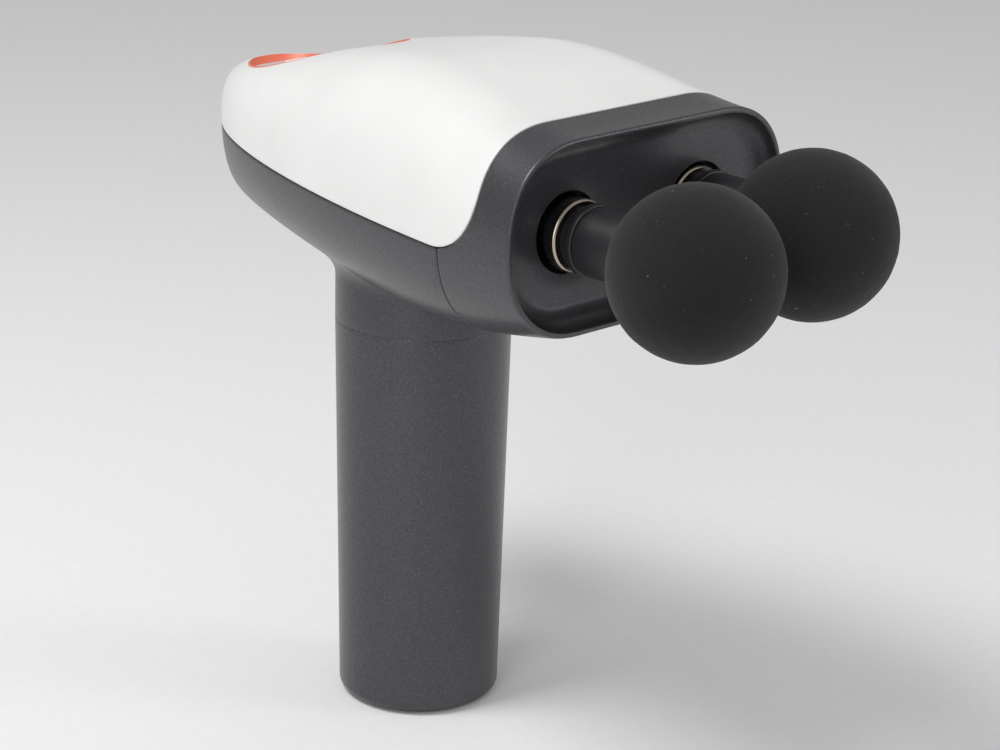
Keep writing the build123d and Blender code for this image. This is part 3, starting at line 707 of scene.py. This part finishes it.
skin = node(foam, "ValToRGB", Fac=grains)
skin.color_ramp.elements[0].position = 0.3
skin.color_ramp.elements[0].color = colour("#0F0F10")
skin.color_ramp.elements[1].position = 0.7
skin.color_ramp.elements[1].color = colour("#191919")
flecks = node(foam, "TexNoise", Vector=at, Scale=800.0, Detail=2.0).outputs[0]
fleck = node(foam, "MapRange", Value=flecks, _1=0.74, _2=0.78).outputs[0]
mixed = node(foam, "Mix", {"data_type": "RGBA"}, _0=fleck, _6=skin.outputs[0], _7=colour("#77756F"))
join(foam, mixed.outputs[2], shader, "Base Color")
ball_radius = 22.5
pit_depth = 0.07
for side in ("right", "left"):
    low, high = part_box(f"{side}_piston_sleeve")
    middle = Vector(((low.x + high.x) / 2, low.y - ball_reach * mm, (low.z + high.z) / 2))
    neck_turn = math.degrees(math.acos((stem_radius + 0.4) / ball_radius))
    profile = [(stem_radius + 0.02, -ball_radius * math.sin(math.radians(neck_turn)) + 0.9)]
    profile += arc(0, 0, ball_radius, -neck_turn, 90, 130)
    mesh = lathe(profile, middle, (0, -1, 0), 200)
    for vert in mesh.verts:
        ray = vert.co - middle
        pit = noise.noise(vert.co * 900) * 0.5 + noise.noise(vert.co * 260)
        vert.co += ray.normalized() * pit * pit_depth * mm
    ball = piece(f"{side}_ball", mesh, f"{side}_head", foam, sharp=60)
    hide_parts(f"{side}_foam_ball")

# ---- Control panel ----
# A sunken oval on the rear slope: an orange bevelled trim ring, a grey inset plate with four small
# indicator windows, and a frosted oval button with a faint pink painted glow: emission in its own colour
# stands in for light through the frosted plastic.
plate_depth = 0.9
panel_depth = 3.2
panel_frame = Matrix.Rotation(-panel_slope, 4, "X")
panel_origin = place(0, panel_middle, panel_height)


def panel_point(across, along, up):
    """A point given on the panel's plane, in the row frame."""
    return panel_origin + panel_frame @ (Vector((across, along, up)) * mm)


def oval_rows(profile, half_width, half_length, centre=0.0, steps=160):
    """Rings of an oval piece from (inset, height) pairs, on the panel's plane."""
    rows = []
    for shrink, up in profile:
        wide, long = max(half_width - shrink, 0.0), max(half_length - shrink, 0.0)
        rows.append([
            panel_point(wide * math.cos(turn), centre + long * math.sin(turn), up)
            for turn in spread(0, 2 * math.pi, steps + 1)[:-1]
        ])
    return rows


orange, shader, at = new_material("orange_trim", IOR=1.5, Roughness=0.38)
speck = node(orange, "TexNoise", Vector=at, Scale=2400.0, Detail=3.0).outputs[0]
glow = node(orange, "ValToRGB", Fac=speck)
glow.color_ramp.elements[0].color = colour("#E0694F")
glow.color_ramp.elements[1].color = colour("#EC7C61")
join(orange, glow.outputs[0], shader, "Base Color")
bump = node(orange, "Bump", Height=speck, Strength=0.15, Distance=0.00003).outputs[0]
join(orange, bump, shader, "Normal")
ring_rows = []
ring_profile = [
    (0.0, None, -panel_depth), (0.0, 0.5, None), (0.1, 0.22, None), (0.35, 0.1, None), (0.6, 0.16, None),
    (1.45, None, 0.1), (1.65, None, -0.1), (1.7, None, -2.3), (0.0, None, -panel_depth),
]
for shrink, from_top, from_plate in ring_profile:
    row = []
    for turn in spread(0, 2 * math.pi, 201)[:-1]:
        across = (panel_half_width - shrink) * math.cos(turn)
        along = (panel_half_length - shrink) * math.sin(turn)
        if from_top is None:
            up = from_plate - plate_depth
        else:
            distance = panel_middle + along * math.cos(panel_slope)
            edge_point = place(across, distance, height_at(across, distance, True))
            up = on_panel(edge_point)[2] - from_top
        row.append(panel_point(across, along, up))
    ring_rows.append(row)
ring_mesh, _ = sheet_of(ring_rows, closed=True)
ring = piece("orange_trim_ring", ring_mesh, "gun", orange)
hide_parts("panel_ring")

grey, shader, at = new_material("panel_grey", IOR=1.5)
grain = node(grey, "TexNoise", Vector=at, Scale=2000.0, Detail=4.0).outputs[0]
matt = node(grey, "MapRange", Value=grain, _3=0.4, _4=0.55).outputs[0]
join(grey, matt, shader, "Roughness")
plate_tone = node(grey, "ValToRGB", Fac=grain)
plate_tone.color_ramp.elements[0].color = colour("#BDBEBF")
plate_tone.color_ramp.elements[1].color = colour("#CBCCCD")
join(grey, plate_tone.outputs[0], shader, "Base Color")
bump = node(grey, "Bump", Height=grain, Strength=0.2, Distance=0.00003).outputs[0]
join(grey, bump, shader, "Normal")

# Painted glow: Emission_Strength makes the frosted button give off light of its own, though it is no lamp.
frosted, shader, at = new_material(
    "frosted_button", IOR=1.49, Roughness=0.35, Transmission_Weight=0.25, Emission_Strength=0.35
)
haze = node(frosted, "TexNoise", Vector=at, Scale=900.0, Detail=3.0).outputs[0]
button_colour_and_painted_glow = node(frosted, "ValToRGB", Fac=haze)
button_colour_and_painted_glow.color_ramp.elements[0].color = colour("#F0C2B4")
button_colour_and_painted_glow.color_ramp.elements[1].color = colour("#FBEAE4")
join(frosted, button_colour_and_painted_glow.outputs[0], shader, "Base Color")
# The button's colour also drives its emission, the painted glow.
join(frosted, button_colour_and_painted_glow.outputs[0], shader, "Emission Color")

button_half_length = 6.5
button_half_width = 5.0
button_centre = 12.0
button_gap = 0.15
indicator_radius = 0.9
indicator_centres = [-12.0 + 4.5 * step for step in range(4)]
opening_steps = 64
plate_mesh, plate_lines = sheet_of(
    oval_rows(
        [(2.0, -panel_depth), (2.0, -plate_depth - 0.15), (2.06, -plate_depth - 0.04), (2.2, -plate_depth)],
        panel_half_width, panel_half_length, steps=200,
    ),
    closed=True,
)
plate_outline = set(plate_lines[-1])
plate_edges = [edge for edge in plate_mesh.edges if edge.is_boundary and edge.verts[0] in plate_outline]
openings = [(button_centre, button_half_width + button_gap, button_half_length + button_gap)]
openings += [(centre, indicator_radius, indicator_radius) for centre in indicator_centres]
for centre, half_width, half_length in openings:
    wall_rows = oval_rows(
        [(-0.12, -plate_depth), (0.0, -plate_depth - 0.1), (0.0, -panel_depth)],
        half_width, half_length, centre, opening_steps,
    )
    lines = [[plate_mesh.verts.new(point) for point in row] for row in wall_rows]
    for upper, lower in zip(lines, lines[1:]):
        for index in range(opening_steps):
            after = (index + 1) % opening_steps
            plate_mesh.faces.new((upper[index], upper[after], lower[after], lower[index]))
    plate_edges += [
        plate_mesh.edges.get((lines[0][index - 1], lines[0][index])) for index in range(opening_steps)
    ]
bmesh.ops.triangle_fill(plate_mesh, edges=plate_edges, use_beauty=True)
plate = piece("panel_plate", plate_mesh, "gun", grey)
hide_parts("control_panel")

button_profile = [(0.0, -4.4), (0.0, -0.85), (0.1, -0.62), (0.35, -0.5)]
button_crown = 0.25
crown_width = 4.6
for step in spread(0.4, crown_width, 9):
    button_profile.append((0.35 + step, -0.5 + button_crown * math.sin(step / crown_width * math.pi / 2)))
button_mesh, button_lines = sheet_of(
    oval_rows(button_profile, button_half_width, button_half_length, button_centre, 96), closed=True
)
bmesh.ops.contextual_create(button_mesh, geom=button_lines[-1])
button = piece("frosted_power_button", button_mesh, "button", frosted)
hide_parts("power_button")

# ---- Inner parts ----
# What is inside the housing keeps its CAD shape: die-cast frame and rocker, motor, bronze bushes, steel
# pins and screws, circuit boards and the wrapped cells. Each family has the surface of its own making.
cast, shader, at = new_material("cast_aluminium", Metallic=1.0, Base_Color=colour("#B9BABB"))
grain = node(cast, "TexNoise", Vector=at, Scale=1300.0, Detail=6.0).outputs[0]
sandy = node(cast, "MapRange", Value=grain, _3=0.45, _4=0.68).outputs[0]
join(cast, sandy, shader, "Roughness")
bump = node(cast, "Bump", Height=grain, Strength=0.4, Distance=0.00008).outputs[0]
join(cast, bump, shader, "Normal")

steel, shader, at = new_material("machined_steel", Metallic=1.0, Base_Color=colour("#9A9B9D"))
turned = node(steel, "TexNoise", Vector=at, Scale=2600.0, Detail=4.0).outputs[0]
smooth = node(steel, "MapRange", Value=turned, _3=0.22, _4=0.4).outputs[0]
join(steel, smooth, shader, "Roughness")

bronze, shader, at = new_material("sintered_bronze", Metallic=1.0, Base_Color=colour("#A9814F"))
pores = node(bronze, "TexVoronoi", Vector=at, Scale=3200.0).outputs["Distance"]
dull = node(bronze, "MapRange", Value=pores, _3=0.6, _4=0.4).outputs[0]
join(bronze, dull, shader, "Roughness")
bump = node(bronze, "Bump", Height=pores, Strength=0.2, Distance=0.00005).outputs[0]
join(bronze, bump, shader, "Normal")

copper, shader, at = new_material("enamelled_copper", Metallic=1.0, Base_Color=colour("#B5673A"))
wire = node(copper, "TexWave", {"bands_direction": "Z"}, Vector=at, Scale=400.0).outputs[0]
varnish = node(copper, "MapRange", Value=wire, _3=0.25, _4=0.45).outputs[0]
join(copper, varnish, shader, "Roughness")
bump = node(copper, "Bump", Height=wire, Strength=0.5, Distance=0.0002).outputs[0]
join(copper, bump, shader, "Normal")

mask, shader, at = new_material("circuit_board", IOR=1.5, Roughness=0.35)
tracks = node(mask, "TexVoronoi", {"distance": "MANHATTAN"}, Vector=at, Scale=420.0).outputs["Distance"]
laid = node(mask, "ValToRGB", Fac=tracks)
laid.color_ramp.elements[0].color = colour("#1D5B35")
laid.color_ramp.elements[1].color = colour("#123F24")
join(mask, laid.outputs[0], shader, "Base Color")

wrap, shader, at = new_material("cell_wrap", IOR=1.5, Roughness=0.28)
crease = node(wrap, "TexNoise", Vector=at, Scale=120.0, Detail=3.0).outputs[0]
film = node(wrap, "ValToRGB", Fac=crease)
film.color_ramp.elements[0].color = colour("#2F6E52")
film.color_ramp.elements[1].color = colour("#3A8464")
join(wrap, film.outputs[0], shader, "Base Color")
bump = node(wrap, "Bump", Height=crease, Strength=0.2, Distance=0.0001).outputs[0]
join(wrap, bump, shader, "Normal")

clear, shader, at = new_material("clear_window", IOR=1.49, Transmission_Weight=0.6)
haze = node(clear, "TexNoise", Vector=at, Scale=1500.0).outputs[0]
soft = node(clear, "MapRange", Value=haze, _3=0.1, _4=0.3).outputs[0]
join(clear, soft, shader, "Roughness")

finishes = {
    "cover_white": white, "shell_graphite": graphite, "inner_plastic": nylon, "rubber_black": rubber,
    "screw_steel": steel, "cell_can": wrap, "board": mask, "cast_aluminium": cast, "winding_copper": copper,
    "bush_bronze": bronze, "trim_orange": orange, "panel_grey": grey, "led_clear": clear,
    "button_clear": frosted, "sleeve_steel": plated, "stem_black": nylon, "foam_black": foam,
}
for entry in frame["record"]["subparts"]:
    part = frame["nodes"][entry["node"]]
    part.data.materials.clear()
    part.data.materials.append(finishes[entry["material_slot"]])

# ---- Studio ----
# A plain pale floor under soft, even light: a small panel overhead and a tall, slightly weaker one on each
# side.
floor_mesh = bmesh.new()
bmesh.ops.create_grid(floor_mesh, x_segments=1, y_segments=1, size=6)
floor_data = bpy.data.meshes.new("floor")
floor_mesh.to_mesh(floor_data)
floor_mesh.free()
floor = bpy.data.objects.new("floor", floor_data)
bpy.context.scene.collection.objects.link(floor)
paper, shader, at = new_material("pale_paper", Roughness=0.9)
fibre = node(paper, "TexNoise", Vector=at, Scale=300.0, Detail=3.0).outputs[0]
sheet = node(paper, "ValToRGB", Fac=fibre)
sheet.color_ramp.elements[0].color = colour("#F4F4F4")
sheet.color_ramp.elements[1].color = colour("#FAFAFA")
join(paper, sheet.outputs[0], shader, "Base Color")
floor_data.materials.append(paper)

world = bpy.data.worlds.new("studio")
world.use_nodes = True
world.node_tree.nodes["Background"].inputs[0].default_value = colour("#FFFFFF")
world.node_tree.nodes["Background"].inputs[1].default_value = 0.42
bpy.context.scene.world = world


def lamp(name, where, target, width, height, power):
    """A rectangular soft light aimed at a point; metres and watts."""
    data = bpy.data.lights.new(name, "AREA")
    data.shape = "RECTANGLE"
    data.size = width
    data.size_y = height
    data.energy = power
    made = bpy.data.objects.new(name, data)
    bpy.context.scene.collection.objects.link(made)
    made.location = where
    made.rotation_euler = (Vector(target) - Vector(where)).to_track_quat("-Z", "Y").to_euler()


target = (0, -0.03, 0.12)
lamp("overhead", (-0.45, 0.15, 1.0), target, 0.35, 0.35, 5.5)
lamp("left_fill", (-1.3, -0.7, 0.6), target, 0.5, 1.2, 5)
lamp("right_fill", (0.9, -1.1, 0.5), target, 0.4, 1.0, 4)

# Camera: a short telephoto at the front left, a little above the heads.
camera_data = bpy.data.cameras.new("camera")
camera_data.lens = 104.25
camera_data.sensor_width = 36
camera = bpy.data.objects.new("camera", camera_data)
bpy.context.scene.collection.objects.link(camera)
azimuth, elevation, roll = math.radians(-42.84), math.radians(19.09), math.radians(1.37)
facing = Matrix.Rotation(azimuth, 4, "Z") @ Matrix.Rotation(math.pi / 2 - elevation, 4, "X")
camera.matrix_world = Matrix.Translation((-0.5220, -0.5958, 0.3721)) @ facing @ Matrix.Rotation(roll, 4, "Z")
bpy.context.scene.camera = camera
bpy.context.scene.view_settings.view_transform = "Standard"
